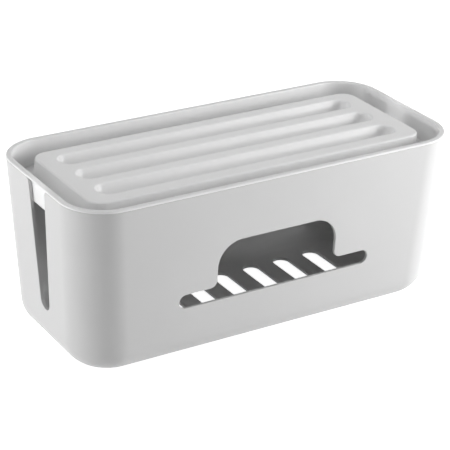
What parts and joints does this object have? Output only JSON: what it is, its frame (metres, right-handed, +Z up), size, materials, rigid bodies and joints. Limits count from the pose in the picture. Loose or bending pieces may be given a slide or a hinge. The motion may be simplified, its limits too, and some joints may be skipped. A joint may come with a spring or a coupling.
{
  "type": "cable management box",
  "caption": "Rounded box that hides a power strip and cables, with a domed front window, tapered cable slots in the ends, a vented floor and a lift-off lid with grooves for phones.",
  "frame": {"origin": "middle of the plane that the feet stand on", "axes": "+X along the box's length, towards its right end as seen from the front; -Y is the front, the long side with the window; +Z is up"},
  "size_m": [0.32, 0.1454, 0.1344],
  "materials": {
    "body_plastic": "satin",
    "lid_plastic": "satin, slightly translucent",
    "foot_rubber": "matt"
  },
  "bodies": {
    "box": {"box_shell": "body_plastic", "foot_front_left": "foot_rubber", "foot_front_right": "foot_rubber", "foot_back_left": "foot_rubber", "foot_back_right": "foot_rubber"},
    "lid": {"lid": "lid_plastic"}
  },
  "joints": [
    {"name": "lid_lift", "type": "slide", "parent": "box", "child": "lid", "axis": [0, 0, 1], "range_m": [0, 0.08]}
  ]
}
